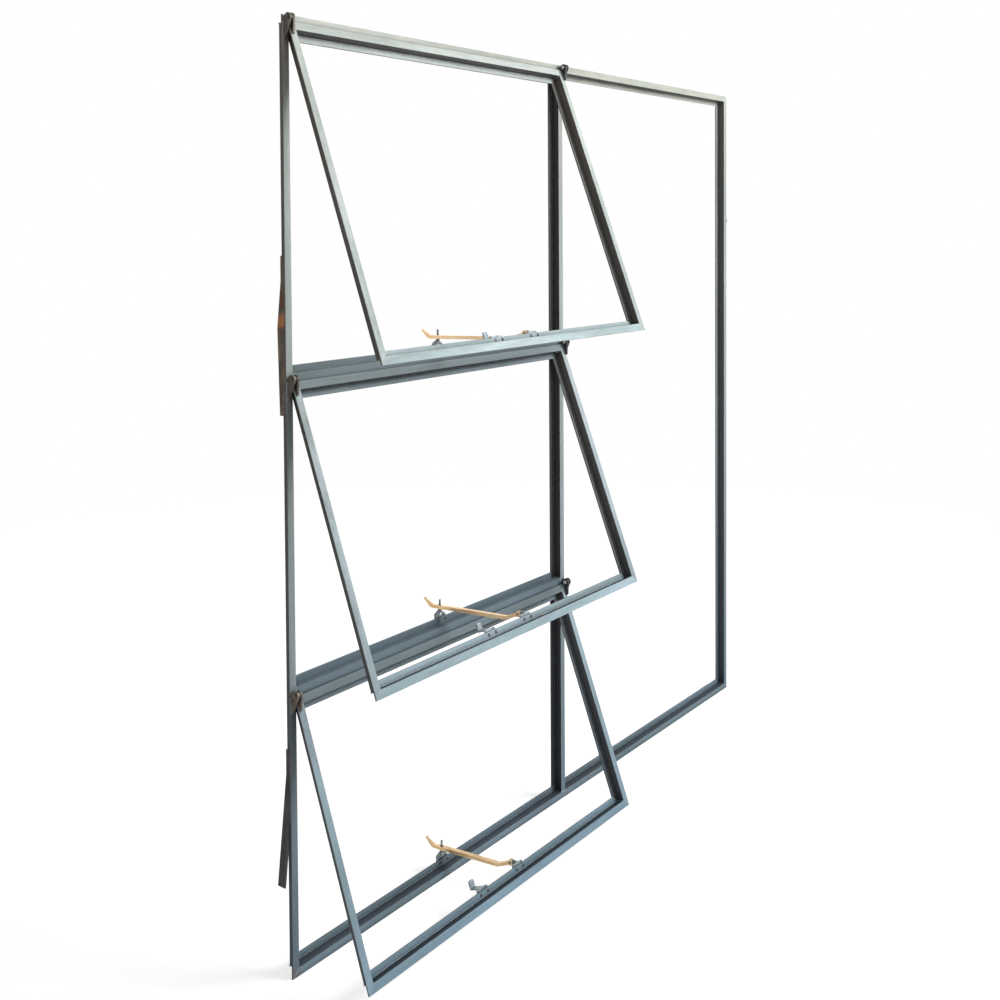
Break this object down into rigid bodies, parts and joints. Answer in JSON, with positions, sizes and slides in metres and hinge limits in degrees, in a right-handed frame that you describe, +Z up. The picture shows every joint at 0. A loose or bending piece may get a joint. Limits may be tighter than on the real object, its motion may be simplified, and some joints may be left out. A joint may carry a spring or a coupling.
{
  "type": "steel window",
  "caption": "Unglazed steel casement window: a column of top-hung sashes held open on peg stays beside a tall fixed light, in a welded Z-section frame.",
  "frame": {"origin": "on the underside of the sill's web, at mid width and mid depth of the outer frame", "axes": "+X to the right seen from outdoors, +Y into the room, +Z up"},
  "size_m": [1.5344, 0.2588, 1.5415],
  "materials": {
    "frame_steel": "satin grey primer over rolled steel",
    "sash_steel": "satin blue-grey primer over rolled steel",
    "hinge_steel": "dark mill scale",
    "plated_steel": "dull plated steel",
    "brass_stay": "worn brass",
    "lug_steel": "bare steel with rust"
  },
  "bodies": {
    "root": {"frame_head": "frame_steel", "frame_sill": "frame_steel", "left_jamb": "frame_steel", "left_lugs": "lug_steel", "lower_left_hinge_arm": "hinge_steel", "lower_left_hinge_bracket": "hinge_steel", "lower_right_hinge_arm": "hinge_steel", "lower_right_hinge_bracket": "hinge_steel", "lower_sash_bottom_rail": "sash_steel", "lower_sash_left_stile": "sash_steel", "lower_sash_right_stile": "sash_steel", "lower_sash_top_rail": "sash_steel", "lower_stay_arm": "brass_stay", "lower_stay_keeper": "plated_steel", "lower_stay_peg": "plated_steel", "lower_stay_pivot": "plated_steel", "lower_transom": "frame_steel", "middle_left_hinge_arm": "hinge_steel", "middle_left_hinge_bracket": "hinge_steel", "middle_right_hinge_arm": "hinge_steel", "middle_right_hinge_bracket": "hinge_steel", "middle_sash_bottom_rail": "sash_steel", "middle_sash_left_stile": "sash_steel", "middle_sash_right_stile": "sash_steel", "middle_sash_top_rail": "sash_steel", "middle_stay_arm": "brass_stay", "middle_stay_keeper": "plated_steel", "middle_stay_peg": "plated_steel", "middle_stay_pivot": "plated_steel", "mullion": "frame_steel", "right_jamb": "frame_steel", "right_lugs": "lug_steel", "upper_left_hinge_arm": "hinge_steel", "upper_left_hinge_bracket": "hinge_steel", "upper_right_hinge_arm": "hinge_steel", "upper_right_hinge_bracket": "hinge_steel", "upper_sash_bottom_rail": "sash_steel", "upper_sash_left_stile": "sash_steel", "upper_sash_right_stile": "sash_steel", "upper_sash_top_rail": "sash_steel", "upper_stay_arm": "brass_stay", "upper_stay_keeper": "plated_steel", "upper_stay_peg": "plated_steel", "upper_stay_pivot": "plated_steel", "upper_transom": "frame_steel"}
  },
  "joints": []
}
